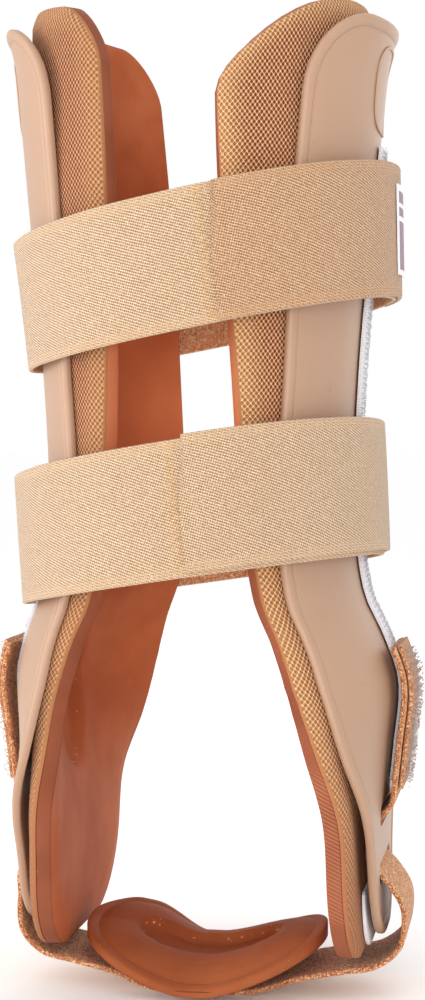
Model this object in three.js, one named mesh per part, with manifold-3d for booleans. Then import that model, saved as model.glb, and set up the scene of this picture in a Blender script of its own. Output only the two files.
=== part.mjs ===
// Stirrup ankle brace: two plastic side shells with gel pads inside them, two elastic straps
// closed round both shells, and a heel strap with a gel heel pad that joins them under the foot.
// Millimetres. X goes across the ankle, -Y is the front of the brace and Z is up.
import * as THREE from 'three';
import Module from 'manifold-3d';
import { mergeVertices } from 'three/addons/utils/BufferGeometryUtils.js';

const wasm = await Module();
wasm.setup();

// Side shells
const shellHeight = 262;
const shellLift = 18;
const shellWall = 2;
const topReach = 56;
const topRadius = 56;
const shellHalfArc = 46;
const shellTopCorner = 23;
const shellBottomCorner = 19;
const lipFlare = 2;
const lipHeight = 14;

// Side pads
const padRise = 1;
const padCrown = 5;
const padDrop = 5;
const padHalfArc = 62;
const padGap = 0.6;
const padWideCorner = 25;
const padWideStretch = 1.9;
const padTightCorner = 15;
const padBottomCorner = 24;
const padCornerRoundness = 1.65;
const gelThickness = 6;
const gelEdge = 3.6;
const coverThickness = 1.4;
const recessDepth = 2.2;
const recessWidth = 40;
const recessHeight = 78;
const recessMiddle = 80;

// Hook tapes and patches
const tapeWidth = 22;
const tapeThickness = 1.0;
const tapeEnd = 228;
const tapeBendLow = 98;
const tapeBendHigh = 146;
const patchWidth = 44;
const patchHeight = 20;
const patchCorner = 11;
const patchThickness = 1;

// Elastic straps
const strapWidth = 38;
const strapThickness = 1.5;
const strapRoundness = 2.15;
const endBack = 28;
const labelHeight = 26;
const labelWidth = 18;
const labelThickness = 0.6;
const labelTurn = THREE.MathUtils.degToRad(-3);

// Heel strap and heel pad
const heelStrapWidth = 30;
const heelStrapThickness = 1.6;
const slotHeight = 6.5;
const lowSlot = 19;
const highSlot = 36;
const tabTop = 84;
const tabWidth = 25;
const tabThickness = 1.3;
const floorHalf = 12;
const heelPadLength = 72;
const heelPadDepth = 50;
const heelPadThickness = 9;
const heelPadTilt = 2;
const heelPadFlat = 5;
const heelPadRise = 12.5;
const heelRecess = 3;

// Gap between pieces that touch
const clearance = 0.3;

// Rows that a side's pieces share over the shell's height, rows of one rounded corner, columns
// across a shell and a pad, and steps round an elastic strap
const sharedRows = 21;
const cornerSteps = 4;
const shellColumns = 10;
const padColumns = 11;
const strapSteps = 44;

// One row for each level of a side. height is a share of shellHeight, reach of topReach, lean
// what the right side stands out more than that and the left side less, bend of the curve of
// topRadius, shell of shellHalfArc, front and rear of padHalfArc, skew what the right pad comes
// further to the front and the left pad less, and gap what the pad stands away from the shell,
// as a share of the room that the heel strap needs between them.
const levelColumns = ['height', 'reach', 'lean', 'bend', 'shell', 'front', 'rear', 'skew', 'gap'];
const levels = [
  [-0.04, 0.955, 0.018, 0.06, 0.48, 0.60, 0.70, 0, 1],
  [0.07, 0.938, 0.016, 0.06, 0.59, 0.62, 0.76, 0, 1],
  [0.14, 0.944, 0.018, 0.12, 0.78, 0.67, 0.80, 0.01, 1],
  [0.21, 0.978, 0.018, 0.52, 0.95, 0.76, 0.88, 0.03, 0.45],
  [0.28, 1.012, 0.012, 0.87, 1.03, 0.83, 0.94, 0.04, 0],
  [0.33, 0.950, 0.000, 0.90, 1.02, 0.84, 0.94, 0.02, 0],
  [0.38, 0.857, -0.012, 0.92, 1.00, 0.84, 0.93, 0, 0],
  [0.47, 0.812, -0.014, 0.96, 0.98, 0.85, 0.91, 0, 0],
  [0.62, 0.836, -0.018, 1.00, 0.94, 0.92, 0.91, 0, 0],
  [0.81, 0.914, -0.015, 1.00, 0.99, 1.05, 0.94, 0.03, 0],
  [1.00, 0.998, -0.009, 1.03, 0.98, 1.09, 0.91, 0.09, 1.4],
  [1.04, 1.016, -0.008, 1.03, 0.98, 1.09, 0.91, 0.09, 1.5],
].map((row) => Object.fromEntries(row.map((value, i) => [levelColumns[i], value])));

// The two sides. slip is how far a side has slipped to the rear round the leg, and loopReach how
// far the heel strap's loop below the shell stands out, both as shares of topReach. lowTape and
// highTape are how far the hook tape lies to the rear of the shell's middle below and above the
// lower strap, as shares of tapeWidth. front and rear are the top corners of the side's pad.
const sides = [
  {
    name: 'right',
    sign: 1,
    slip: 0,
    loopReach: 1.0714,
    lowTape: 0.28,
    highTape: 0.28,
    front: padWideCorner,
    rear: padTightCorner,
  },
  {
    name: 'left',
    sign: -1,
    slip: 0.036,
    loopReach: 0.968,
    lowTape: 0.14,
    highTape: 0.5,
    front: padTightCorner,
    rear: padTightCorner,
  },
];

// Each elastic strap: height is its middle as a share of shellHeight, tilt its rise to the right
// and pitch its rise to the front, in degrees, and endFront how far right of the middle its
// second layer starts, as a share of strapWidth. Each of its edges has a depth, its reach to front
// and rear as a share of topRadius, and the slack over each hook tape as a share of strapWidth.
const straps = {
  upper: {
    height: 0.735,
    tilt: 11,
    endFront: 0.31,
    pitch: -1,
    top: { depth: 0.96, right: 0.032, left: 0.042 },
    bottom: { depth: 0.95, right: 0.147, left: 0.008 },
  },
  lower: {
    height: 0.4625,
    tilt: 8.5,
    endFront: 0.08,
    pitch: 4,
    top: { depth: 0.90, right: 0.079, left: 0.19 },
    bottom: { depth: 0.97, right: 0.11, left: 0.005 },
  },
};

// The heel strap's loop below a shell: shares of its loopReach, and of shellLift above the floor
const heelLoop = [
  { out: 0.320, up: 0.07 },
  { out: 0.470, up: 0.25 },
  { out: 0.700, up: 0.41 },
  { out: 0.860, up: 0.52 },
  { out: 0.970, up: 0.82 },
  { out: 0.995, up: 1.12 },
  { out: 0.990, up: 1.50 },
];

// The level table's value of one column at a height, eased through the rows
function levelValue(column, height) {
  const last = levels.length - 1;
  const share = height / shellHeight;
  let low = 0;
  while (low < last - 1 && share > levels[low + 1].height) low += 1;
  const slope = (index) => {
    const before = levels[Math.max(index - 1, 0)];
    const after = levels[Math.min(index + 1, last)];
    return (after[column] - before[column]) / (after.height - before.height);
  };
  const from = levels[low];
  const to = levels[low + 1];
  const span = to.height - from.height;
  const t = THREE.MathUtils.clamp((share - from.height) / span, 0, 1);
  const rise = to[column] - from[column];
  const startBend = slope(low) * span - rise;
  const endBend = rise - slope(low + 1) * span;
  return from[column] + rise * t + t * (1 - t) * ((1 - t) * startBend + t * endBend);
}

// Widest reach of a side's shell at a height above its lower end
function reachAt(side, height) {
  return topReach * (levelValue('reach', height) + side.sign * levelValue('lean', height));
}

// How far the shell's upper lip curls outwards at a height
function lipCurl(height) {
  const share = Math.max(0, height - (shellHeight - lipHeight)) / lipHeight;
  return lipFlare * share ** 2;
}

// A point of a side: arc is measured round the shell from its middle, depth inwards
function sidePoint(side, height, arc, depth) {
  const radius = topRadius / Math.max(levelValue('bend', height), 0.02);
  const angle = (arc + side.slip * topReach) / radius;
  return new THREE.Vector3(
    side.sign * (reachAt(side, height) - radius + (radius - depth) * Math.cos(angle)),
    (radius - depth) * Math.sin(angle),
    shellLift + height);
}

// Depth of a pad's outer face below the shell's outer face
function padDepth(height) {
  const room = heelStrapThickness + 3 * clearance;
  const share = Math.max(0, levelValue('gap', height));
  return shellWall + padGap + room * share;
}

// Heights of a piece's rows: its two ends, the rows that all pieces of a side share, and the
// rows of its rounded corners
function rowHeights(low, high, lowCorner = 0, highCorner = 0) {
  const heights = [low, high];
  for (let i = 1; i <= cornerSteps; i += 1) {
    const share = 1 - Math.cos((i / cornerSteps) * Math.PI / 2);
    heights.push(low + lowCorner * share, high - highCorner * share);
  }
  for (let i = -1; i <= sharedRows + 1; i += 1) {
    const height = shellHeight * i / sharedRows;
    const apart = 0.2 * shellHeight / sharedRows;
    const clear = heights.every((other) => Math.abs(other - height) > apart);
    if (clear && height > low && height < high) heights.push(height);
  }
  return [...new Set(heights)].sort((a, b) => a - b);
}

// How far a rounded corner draws an edge in at a distance from the end. A roundness of 2 is a
// quarter circle, and a lower one is flatter.
function cornerInset(distance, corner, roundness = 2) {
  if (distance >= corner) return 0;
  const left = corner ** roundness - (corner - Math.max(distance, 0)) ** roundness;
  return corner - left ** (1 / roundness);
}

// A closed solid through stations, each with a row of outer points and a row of inner points.
// Both faces are split along the same diagonals, so that pieces nest.
function loft(stations, closed = false) {
  const across = stations[0].outer.length;
  const around = 2 * across;
  const positions = [];
  for (const { outer, inner } of stations) {
    for (const point of [...outer, ...[...inner].reverse()]) positions.push(...point.toArray());
  }
  const index = [];
  const count = closed ? stations.length : stations.length - 1;
  for (let s = 0; s < count; s += 1) {
    const here = s * around;
    const next = ((s + 1) % stations.length) * around;
    for (let i = 0; i < around; i += 1) {
      const j = (i + 1) % around;
      if (i < across) index.push(here + i, next + i, next + j, here + i, next + j, here + j);
      else index.push(here + i, next + i, here + j, next + i, next + j, here + j);
    }
  }
  if (!closed) {
    const end = (stations.length - 1) * around;
    for (let i = 0; i < across - 1; i += 1) {
      const j = around - 1 - i;
      index.push(i, i + 1, j - 1, i, j - 1, j);
      index.push(end + i, end + j - 1, end + i + 1, end + i, end + j, end + j - 1);
    }
  }
  const geometry = new THREE.BufferGeometry();
  geometry.setAttribute('position', new THREE.Float32BufferAttribute(positions, 3));
  geometry.setIndex(index);
  return facingOut(geometry);
}

// The same geometry with its faces turned outwards
function facingOut(geometry) {
  const position = geometry.attributes.position;
  const index = geometry.index.array;
  const corner = (i) => new THREE.Vector3().fromBufferAttribute(position, index[i]);
  let volume = 0;
  for (let i = 0; i < index.length; i += 3) {
    volume += corner(i).dot(corner(i + 1).cross(corner(i + 2)));
  }
  if (volume < 0) flipFaces(geometry);
  return geometry;
}

function flipFaces(geometry) {
  const index = geometry.index.array;
  for (let i = 0; i < index.length; i += 3) {
    [index[i + 1], index[i + 2]] = [index[i + 2], index[i + 1]];
  }
}

// A solid that lies along a side between two depths. Its outline is given by the
// functions front and rear, the arcs of its edges at a height, and crown raises its points.
function sideSheet(side, sheet) {
  const { heights, columns, front, rear, outerDepth, innerDepth, crown = () => 0 } = sheet;
  const stations = heights.map((height) => {
    const outer = [];
    const inner = [];
    for (let c = 0; c <= columns; c += 1) {
      const arc = THREE.MathUtils.lerp(-front(height), rear(height), c / columns);
      const raised = height + crown(height, arc);
      outer.push(sidePoint(side, raised, arc, outerDepth(height, arc)));
      inner.push(sidePoint(side, raised, arc, innerDepth(height, arc)));
    }
    return { outer, inner };
  });
  return loft(stations);
}

function toManifold(geometry) {
  const bare = geometry.clone();
  bare.deleteAttribute('normal');
  bare.deleteAttribute('uv');
  const merged = mergeVertices(bare, 1e-4);
  return new wasm.Manifold(new wasm.Mesh({
    numProp: 3,
    vertProperties: new Float32Array(merged.attributes.position.array),
    triVerts: new Uint32Array(merged.index.array),
  }));
}

function fromManifold(solid) {
  const mesh = solid.getMesh();
  const geometry = new THREE.BufferGeometry();
  const points = new Float32Array(mesh.vertProperties);
  geometry.setAttribute('position', new THREE.BufferAttribute(points, 3));
  geometry.setIndex(new THREE.BufferAttribute(new Uint32Array(mesh.triVerts), 1));
  return geometry;
}

// Cutter for one slot of a shell, with round ends, running through the wall along X
function slotCutter(side, height) {
  const r = slotHeight / 2;
  const half = heelStrapWidth / 2 + clearance + r / 2;
  const outline = new THREE.Shape();
  outline.absarc(half - r, 0, r, -Math.PI / 2, Math.PI / 2, false);
  outline.absarc(-(half - r), 0, r, Math.PI / 2, 1.5 * Math.PI, false);
  const length = 8 * shellWall;
  const cutter = new THREE.ExtrudeGeometry(outline, {
    depth: length,
    bevelEnabled: false,
    curveSegments: 5,
  });
  const along = new THREE.Matrix4().makeBasis(
    new THREE.Vector3(0, 1, 0), new THREE.Vector3(0, 0, 1), new THREE.Vector3(1, 0, 0));
  cutter.applyMatrix4(along);
  const reach = reachAt(side, height);
  return cutter.translate(side.sign * reach - length / 2, 0, shellLift + height);
}

function shellEdge(height) {
  const drawnIn = cornerInset(shellHeight - height, shellTopCorner)
    + cornerInset(height, shellBottomCorner);
  return shellHalfArc * levelValue('shell', height) - drawnIn;
}

function shellGeometry(side) {
  const sheet = sideSheet(side, {
    heights: rowHeights(0, shellHeight, shellBottomCorner, shellTopCorner),
    columns: shellColumns,
    front: shellEdge,
    rear: shellEdge,
    outerDepth: (height) => -lipCurl(height),
    innerDepth: (height) => shellWall - lipCurl(height),
  });
  const cut = toManifold(sheet)
    .subtract(toManifold(slotCutter(side, lowSlot)))
    .subtract(toManifold(slotCutter(side, highSlot)));
  return fromManifold(cut);
}

// Outline shared by a pad's cover and gel: the arc of its front or rear edge at a height
function padEdge(side, end) {
  const skew = end === 'front' ? side.sign : 0;
  const stretch = side[end] === padWideCorner ? padWideStretch : 1;
  const top = shellHeight + padRise;
  return (height) => {
    const drawnIn = stretch * cornerInset(top - height, side[end], padCornerRoundness)
      + cornerInset(height + padDrop, padBottomCorner);
    return padHalfArc * (levelValue(end, height) + skew * levelValue('skew', height)) - drawnIn;
  };
}

// How much higher a pad's points lie towards the middle of its crowned top
function padCrowned(height, arc) {
  const top = shellHeight + padRise;
  const near = THREE.MathUtils.smoothstep(height, top - 8 * padCrown, top);
  return padCrown * near * Math.max(0, 1 - (arc / padHalfArc) ** 2);
}

function padRows() {
  return rowHeights(-padDrop, shellHeight + padRise, padBottomCorner, padWideCorner);
}

// Perforated fabric face of a pad, on the side of the shell
function coverGeometry(side) {
  return sideSheet(side, {
    heights: padRows(),
    columns: padColumns,
    front: padEdge(side, 'front'),
    rear: padEdge(side, 'rear'),
    outerDepth: padDepth,
    innerDepth: (height) => padDepth(height) + coverThickness,
    crown: padCrowned,
  });
}

// Thickness of the gel slab: thin at its edges, full inside, hollowed for the ankle bone
function gelDepth(side, height, arc) {
  const front = padEdge(side, 'front')(height);
  const rear = padEdge(side, 'rear')(height);
  const across = Math.abs((2 * arc + front - rear) / (front + rear));
  const thinned = THREE.MathUtils.smoothstep(across, 0.7, 1);
  const full = THREE.MathUtils.lerp(gelThickness, gelEdge, thinned);
  const aside = arc / (recessWidth / 2);
  const above = (height - recessMiddle) / (recessHeight / 2);
  const bowl = Math.max(0, 1 - aside ** 2 - above ** 2);
  return full - recessDepth * Math.sqrt(bowl);
}

function gelGeometry(side) {
  const start = (height) => padDepth(height) + coverThickness + clearance;
  return sideSheet(side, {
    heights: padRows(),
    columns: padColumns,
    front: padEdge(side, 'front'),
    rear: padEdge(side, 'rear'),
    outerDepth: start,
    innerDepth: (height, arc) => start(height) + gelDepth(side, height, arc),
    crown: padCrowned,
  });
}

// How far the hook tape's middle lies to the rear at a height
function tapeShift(side, height) {
  const risen = THREE.MathUtils.smoothstep(height, tapeBendLow, tapeBendHigh);
  return tapeWidth * THREE.MathUtils.lerp(side.lowTape, side.highTape, risen);
}

// White hook tape down the outside of a shell, from the slots to above the upper strap
function tapeGeometry(side) {
  return sideSheet(side, {
    heights: rowHeights(tabStart, tapeEnd),
    columns: 4,
    front: (height) => tapeWidth / 2 - tapeShift(side, height),
    rear: (height) => tapeWidth / 2 + tapeShift(side, height),
    outerDepth: () => -clearance - tapeThickness,
    innerDepth: () => -clearance,
  });
}

// White hook patch on the outer face of a pad's lower end
function patchGeometry(side) {
  const low = clearance - padDrop;
  const edge = (height) => patchWidth / 2 - cornerInset(height - low, patchCorner);
  return sideSheet(side, {
    heights: rowHeights(low, low + patchHeight, patchCorner),
    columns: 3,
    front: edge,
    rear: edge,
    outerDepth: (height) => padDepth(height) - clearance - patchThickness,
    innerDepth: (height) => padDepth(height) - clearance,
  });
}

// Edge of an elastic strap at a turn round the leg, pushed out by offset
function strapPoint(strap, edge, turn, offset) {
  const side = sides[Math.cos(turn) >= 0 ? 0 : 1];
  const rise = Math.tan(THREE.MathUtils.degToRad(strap.tilt));
  const lift = Math.tan(THREE.MathUtils.degToRad(strap.pitch));
  const middle = shellHeight * strap.height + (edge === 'top' ? 1 : -1) * strapWidth / 2;
  const slack = strapWidth * strap[edge][side.name];
  const room = 2 * clearance + tapeThickness + slack + offset;
  const reach = reachAt(side, middle + side.sign * topReach * rise) + room;
  const depth = topRadius * strap[edge].depth + offset;
  const power = 2 / strapRoundness;
  const x = side.sign * reach * Math.abs(Math.cos(turn)) ** power;
  const y = Math.sign(Math.sin(turn)) * depth * Math.abs(Math.sin(turn)) ** power;
  return new THREE.Vector3(x, y, shellLift + middle + x * rise - y * lift);
}

// A band from one turn to another, or a whole loop
function bandGeometry(strap, part) {
  const { from = 0, to = 2 * Math.PI, steps, offset = 0, shift = 0, closed = false } = part;
  const count = closed ? steps : steps + 1;
  const stations = Array.from({ length: count }, (_, i) => {
    const turn = from + (to - from) * i / steps;
    const edges = ['top', 'bottom'];
    const row = (extra) => edges.map((edge) => {
      const point = strapPoint(strap, edge, turn, offset + extra);
      point.z += shift;
      return point;
    });
    return { outer: row(strapThickness), inner: row(0) };
  });
  return loft(stations, closed);
}

// Turn at which a strap's second layer starts on its front stretch
function frontTurn(strap) {
  const distance = strapWidth * strap.endFront;
  const share = distance / (topReach + strapWidth * strap.top.right);
  return -Math.acos(share ** (strapRoundness / 2));
}

// Second layer of a strap, from the front round to just behind the right side
function endGeometry(strap, shift) {
  return bandGeometry(strap, {
    from: frontTurn(strap),
    to: THREE.MathUtils.degToRad(endBack),
    steps: 16,
    offset: strapThickness + clearance,
    shift,
  });
}

// Small plain label at the right fold of the upper strap
function labelGeometry() {
  const strap = straps.upper;
  const half = labelWidth / 2 / topReach;
  const offset = 2 * strapThickness + 2 * clearance;
  const margin = (strapWidth - labelHeight) / 2 / strapWidth;
  const stations = Array.from({ length: 5 }, (_, i) => {
    const turn = labelTurn - half + 2 * half * i / 4;
    const row = (extra) => [margin, 1 - margin].map((share) => {
      const top = strapPoint(strap, 'top', turn, offset + extra);
      return top.lerp(strapPoint(strap, 'bottom', turn, offset + extra), share);
    });
    return { outer: row(labelThickness), inner: row(0) };
  });
  return loft(stations);
}

// Height at which the heel strap's end and the hook tape under it start, above the upper slot
const tabStart = highSlot + slotHeight + 2;

// Distance of the heel strap's middle layer outside a shell's outer face, over the hook tape
const tabStandoff = 2 * clearance + tapeThickness + heelStrapThickness / 2;

// Middle line of the heel strap on one side, from under the heel up to the strap's end
function heelStrapLine(side) {
  const half = heelStrapThickness / 2;
  const outside = half + 2 * clearance + 0.6;
  const inside = shellWall + half + 3 * clearance;
  const at = (height, depth) => {
    return new THREE.Vector3(reachAt(side, height) - depth, 0, shellLift + height);
  };
  const below = heelLoop.map(({ out, up }) => {
    return new THREE.Vector3(out * side.loopReach * topReach, 0, half + up * shellLift);
  });
  const under = new THREE.CatmullRomCurve3([
    new THREE.Vector3(floorHalf, 0, half),
    ...below,
    at(lowSlot - 0.42 * slotHeight, -outside),
  ], false, 'centripetal');
  const line = [new THREE.Vector3(0, 0, half), ...under.getPoints(20)];
  line.push(at(lowSlot + 0.55 * slotHeight, inside));
  line.push(at((lowSlot + highSlot) / 2, inside));
  line.push(at(highSlot - 0.55 * slotHeight, inside));
  line.push(at(highSlot + 0.42 * slotHeight, -outside));
  for (const height of rowHeights(tabStart, tabTop)) line.push(at(height, -tabStandoff));
  return line.map((point) => point.setX(side.sign * point.x));
}

// Unit normals of a line in the XZ plane, pointing away from the ankle
function lineNormals(line) {
  return line.map((point, i) => {
    const before = line[Math.max(i - 1, 0)];
    const after = line[Math.min(i + 1, line.length - 1)];
    const into = point.clone().sub(before).setLength(before === point ? 0 : 1);
    const out = after.clone().sub(point).setLength(after === point ? 0 : 1);
    const tangent = into.add(out).normalize();
    return new THREE.Vector3(tangent.z, 0, -tangent.x);
  });
}

// A strip along a line in the XZ plane, width wide in Y, from one offset to another
function stripGeometry(line, normals, width, inner, outer) {
  const stations = line.map((point, i) => {
    const row = (offset) => [-1, 1].map((end) => {
      const moved = point.clone().addScaledVector(normals[i], offset);
      return moved.setY(end * width / 2);
    });
    return { outer: row(outer), inner: row(inner) };
  });
  return loft(stations);
}

function heelStrapGeometry() {
  const [right, left] = sides.map(heelStrapLine);
  const line = [...left.slice(1).reverse(), ...right];
  const half = heelStrapThickness / 2;
  return stripGeometry(line, lineNormals(line), heelStrapWidth, -half, half);
}

// Hook strip on the outer face of a heel strap's end
function tabGeometry(side) {
  const line = heelStrapLine(side).filter((point) => point.z > shellLift + tabStart - 1);
  const start = side.sign * (heelStrapThickness / 2 + clearance);
  const end = start + side.sign * tabThickness;
  return stripGeometry(line, lineNormals(line), tabWidth, start, end);
}

// Gel heel pad: a rounded slab, dished on top and rising at both ends
function heelPadGeometry() {
  const geometry = new THREE.SphereGeometry(1, 28, 12);
  const position = geometry.attributes.position;
  const point = new THREE.Vector3();
  for (let i = 0; i < position.count; i += 1) {
    point.fromBufferAttribute(position, i);
    const flat = Math.hypot(point.x, point.z);
    const spread = flat > 0 ? Math.min(1, flat / 0.92) ** 0.55 / flat : 0;
    const x = point.x * spread;
    const y = -point.z * spread;
    const face = Math.sign(point.y) * Math.min(1, Math.abs(point.y) * 1.6) ** 0.6;
    const dish = face > 0 ? Math.max(0, 1 - (x / 0.6) ** 2 - ((y - 0.15) / 0.45) ** 2) : 0;
    const half = heelPadLength / 2;
    const risen = Math.max(0, Math.abs(x) * half - heelPadFlat) / (half - heelPadFlat);
    const lift = heelPadRise * risen ** 1.2 + heelPadTilt * y * Math.max(0, face);
    const base = heelStrapThickness + clearance + heelPadThickness / 2;
    position.setXYZ(i,
      x * half,
      y * heelPadDepth / 2,
      base + lift + face * heelPadThickness / 2 - heelRecess * Math.sqrt(dish));
  }
  return facingOut(mergedPositions(geometry));
}

function mergedPositions(geometry) {
  geometry.deleteAttribute('normal');
  geometry.deleteAttribute('uv');
  return mergeVertices(geometry, 1e-3);
}

const materials = {
  shell: new THREE.MeshStandardMaterial({ color: 0xdcb496, roughness: 0.42, metalness: 0 }),
  cover: new THREE.MeshStandardMaterial({ color: 0xb98451, roughness: 0.95, metalness: 0 }),
  gel: new THREE.MeshStandardMaterial({ color: 0xab6440, roughness: 0.45, metalness: 0 }),
  hook: new THREE.MeshStandardMaterial({ color: 0xecebea, roughness: 0.8, metalness: 0 }),
  elastic: new THREE.MeshStandardMaterial({ color: 0xdcb88e, roughness: 0.9, metalness: 0 }),
  label: new THREE.MeshStandardMaterial({ color: 0xe8e2e4, roughness: 0.6, metalness: 0 }),
  loop: new THREE.MeshStandardMaterial({ color: 0xa8744a, roughness: 0.95, metalness: 0 }),
  tab: new THREE.MeshStandardMaterial({ color: 0x9c7a6a, roughness: 0.85, metalness: 0 }),
};

function piece(name, geometry, material) {
  const mesh = new THREE.Mesh(geometry, material);
  mesh.name = name;
  return mesh;
}

// The pieces that each side has
function addSide(group, side) {
  const name = (base) => `${base}_${side.name}`;
  group.add(piece(name('shell'), shellGeometry(side), materials.shell));
  group.add(piece(name('pad_cover'), coverGeometry(side), materials.cover));
  group.add(piece(name('gel_pad'), gelGeometry(side), materials.gel));
  group.add(piece(name('hook_tape'), tapeGeometry(side), materials.hook));
  group.add(piece(name('hook_patch'), patchGeometry(side), materials.hook));
  group.add(piece(name('heel_tab'), tabGeometry(side), materials.tab));
}

const brace = new THREE.Group();
for (const side of sides) addSide(brace, side);
const loop = { steps: strapSteps, closed: true };
brace.add(piece('upper_strap', bandGeometry(straps.upper, loop), materials.elastic));
brace.add(piece('upper_strap_end', endGeometry(straps.upper, 0), materials.elastic));
brace.add(piece('lower_strap', bandGeometry(straps.lower, loop), materials.elastic));
brace.add(piece('lower_strap_end', endGeometry(straps.lower, 1), materials.elastic));
brace.add(piece('strap_label', labelGeometry(), materials.label));
brace.add(piece('heel_strap', heelStrapGeometry(), materials.loop));
brace.add(piece('heel_pad', heelPadGeometry(), materials.gel));

// The origin lies on the floor under the middle of the whole brace
const box = new THREE.Box3().setFromObject(brace);
const middle = box.getCenter(new THREE.Vector3());
brace.position.set(-middle.x, -middle.y, -box.min.z);

export default brace;
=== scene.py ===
# Stirrup ankle brace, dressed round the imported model.
# Metres. X goes across the ankle, -Y is the front and Z is up. Small sizes are given in mm.
import bisect
import math
import random

import bmesh
import bpy
from mathutils import Matrix, Vector


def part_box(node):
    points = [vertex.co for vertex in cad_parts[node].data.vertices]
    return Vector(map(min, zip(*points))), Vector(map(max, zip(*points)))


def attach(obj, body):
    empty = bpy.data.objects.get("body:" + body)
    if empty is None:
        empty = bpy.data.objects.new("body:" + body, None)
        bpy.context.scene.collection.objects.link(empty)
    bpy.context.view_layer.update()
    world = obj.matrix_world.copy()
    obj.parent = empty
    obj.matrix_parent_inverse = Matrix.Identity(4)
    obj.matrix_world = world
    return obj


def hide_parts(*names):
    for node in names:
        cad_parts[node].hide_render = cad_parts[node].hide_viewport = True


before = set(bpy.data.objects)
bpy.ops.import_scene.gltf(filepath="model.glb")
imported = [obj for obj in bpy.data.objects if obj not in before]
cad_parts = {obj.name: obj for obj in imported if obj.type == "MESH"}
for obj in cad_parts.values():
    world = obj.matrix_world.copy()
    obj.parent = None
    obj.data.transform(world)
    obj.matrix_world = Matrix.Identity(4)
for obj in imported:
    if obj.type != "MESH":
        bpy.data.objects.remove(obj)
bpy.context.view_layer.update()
mm = 0.001
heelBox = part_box("heel_strap")
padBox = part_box("heel_pad")
braceMiddle = Vector(((padBox[0][0] + padBox[1][0]) / 2, (heelBox[0][1] + heelBox[1][1]) / 2, 0))


# Camera and light

cameraSetup = {
    "azimuth": 10.12,
    "elevation": 1.87,
    "roll": -0.19,
    "distance": 563.5 * mm,
    "target": (1.95 * mm, 0, 143.75 * mm),
    "lens": 68.335,
    "sensor": 36,
    "nearest": 0.01,
    "farthest": 20,
}


def makeCamera(setup):
    data = bpy.data.cameras.new("camera")
    data.sensor_fit = "VERTICAL"
    data.sensor_height = setup["sensor"]
    data.lens = setup["lens"]
    data.clip_start = setup["nearest"]
    data.clip_end = setup["farthest"]
    camera = bpy.data.objects.new("camera", data)
    bpy.context.scene.collection.objects.link(camera)
    turn = math.radians(setup["azimuth"])
    rise = math.radians(setup["elevation"])
    back = Vector((
        math.sin(turn) * math.cos(rise),
        -math.cos(turn) * math.cos(rise),
        math.sin(rise)))
    camera.location = braceMiddle + Vector(setup["target"]) + back * setup["distance"]
    aim = (-back).to_track_quat("-Z", "Y").to_matrix().to_4x4()
    tip = Matrix.Rotation(math.radians(setup["roll"]), 4, "Z")
    camera.rotation_euler = (aim @ tip).to_euler()
    bpy.context.scene.camera = camera


# Places and the sides of the square lamps are in metres
lampSetup = {
    "key": {"place": (-1.2, -0.42, 0.32), "size": 0.6, "watts": 7.0, "colour": (1, 0.985, 0.96)},
    "front": {"place": (0.12, -1.15, 0.22), "size": 0.35, "watts": 5.2, "colour": (1, 0.985, 0.96)},
    "rear": {"place": (0.3, 0.9, 0.5), "size": 0.9, "watts": 2.0, "colour": (1, 1, 1)},
}
lampAim = Vector((0, 0, 140 * mm))
skyStrength = 1.0


def makeLamps(setup):
    for name, lamp in setup.items():
        data = bpy.data.lights.new(name, "AREA")
        data.shape = "SQUARE"
        data.size = lamp["size"]
        data.energy = lamp["watts"]
        data.color = lamp["colour"]
        light = bpy.data.objects.new(name, data)
        bpy.context.scene.collection.objects.link(light)
        light.location = lamp["place"]
        light.rotation_euler = (lampAim - light.location).to_track_quat("-Z", "Y").to_euler()


def makeSky(strength):
    world = bpy.data.worlds.new("studio")
    world.use_nodes = True
    sky = world.node_tree.nodes["Background"]
    sky.inputs["Color"].default_value = (1, 1, 1, 1)
    sky.inputs["Strength"].default_value = strength
    bpy.context.scene.world = world
    bpy.context.scene.view_settings.view_transform = "Standard"


makeCamera(cameraSetup)
makeLamps(lampSetup)
makeSky(skyStrength)
print("camera and lamps are set")


# The form that both sides follow

braceForm = {
    "shellHeight": 262 * mm,
    "lift": 18 * mm,  # floor to the shells' lower ends
    "reach": 56 * mm,
    "radius": 56 * mm,
    "shellHalfArc": 46 * mm,
    "padHalfArc": 62 * mm,
    "wall": 2 * mm,
    "padGap": 0.6 * mm,
    "strapRoom": 2.5 * mm,  # for the heel strap, between shell and pad
    "lipFlare": 2 * mm,
    "lipHeight": 14 * mm,
    "clearance": 0.3 * mm,
}

# height is a share of shellHeight, reach and lean of reach, bend of the curve of radius,
# shell, front, rear and skew of the half arcs, gap of strapRoom
levelColumns = ("height", "reach", "lean", "bend", "shell", "front", "rear", "skew", "gap")
levels = (
    (-0.04, 0.955, 0.018, 0.06, 0.48, 0.60, 0.70, 0, 1),
    (0.07, 0.938, 0.016, 0.06, 0.59, 0.62, 0.76, 0, 1),
    (0.14, 0.944, 0.018, 0.12, 0.78, 0.67, 0.80, 0.01, 1),
    (0.21, 0.978, 0.018, 0.52, 0.95, 0.76, 0.88, 0.03, 0.45),
    (0.28, 1.012, 0.012, 0.87, 1.03, 0.83, 0.94, 0.04, 0),
    (0.33, 0.950, 0.000, 0.90, 1.02, 0.84, 0.94, 0.02, 0),
    (0.38, 0.857, -0.012, 0.92, 1.00, 0.84, 0.93, 0, 0),
    (0.47, 0.812, -0.014, 0.96, 0.98, 0.85, 0.91, 0, 0),
    (0.62, 0.836, -0.018, 1.00, 0.94, 0.92, 0.91, 0, 0),
    (0.81, 0.914, -0.015, 1.00, 0.99, 1.05, 0.94, 0.03, 0),
    (1.00, 0.998, -0.009, 1.03, 0.98, 1.09, 0.91, 0.09, 1.4),
    (1.04, 1.016, -0.008, 1.03, 0.98, 1.09, 0.91, 0.09, 1.5),
)

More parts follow.
